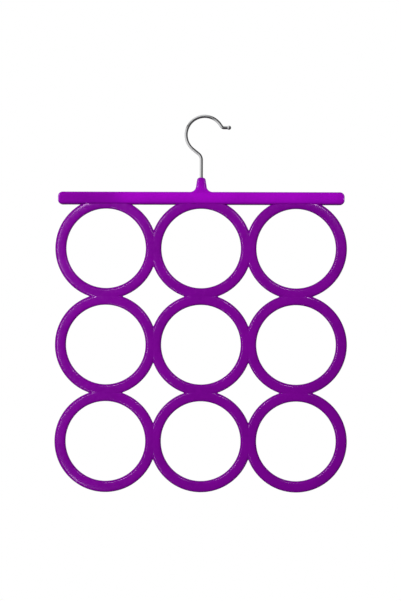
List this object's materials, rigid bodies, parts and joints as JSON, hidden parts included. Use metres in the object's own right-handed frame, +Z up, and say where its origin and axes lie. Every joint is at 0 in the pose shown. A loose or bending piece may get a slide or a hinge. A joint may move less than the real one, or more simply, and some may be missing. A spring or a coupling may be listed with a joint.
{
  "type": "scarf hanger",
  "caption": "Flocked moulded hanger with rings in rows under a straight bar, on a chromed wire hook that swivels in its neck.",
  "frame": {"origin": "the point at the top of the inside of the hook's arc, where the hook rests on a wardrobe rail", "axes": "+Z up along the swivel's axis, +X towards the side on which the hook opens, -Y towards a viewer who faces the pictured side"},
  "size_m": [0.3504, 0.012, 0.4533],
  "materials": {
    "wire": "polished chrome plate on steel wire",
    "flock": "purple nylon flock on moulded plastic, like short velvet"
  },
  "bodies": {
    "hook": {"hook": "wire"},
    "frame": {"top_bar": "flock", "ring_top_left": "flock", "ring_top_centre": "flock", "ring_top_right": "flock", "ring_middle_left": "flock", "ring_middle_centre": "flock", "ring_middle_right": "flock", "ring_bottom_left": "flock", "ring_bottom_centre": "flock", "ring_bottom_right": "flock"}
  },
  "joints": [
    {"name": "hook_swivel", "type": "hinge", "parent": "hook", "child": "frame", "pos_m": [-0.00401, 0, -0.07215], "axis": [0, 0, 1], "continuous": true}
  ]
}
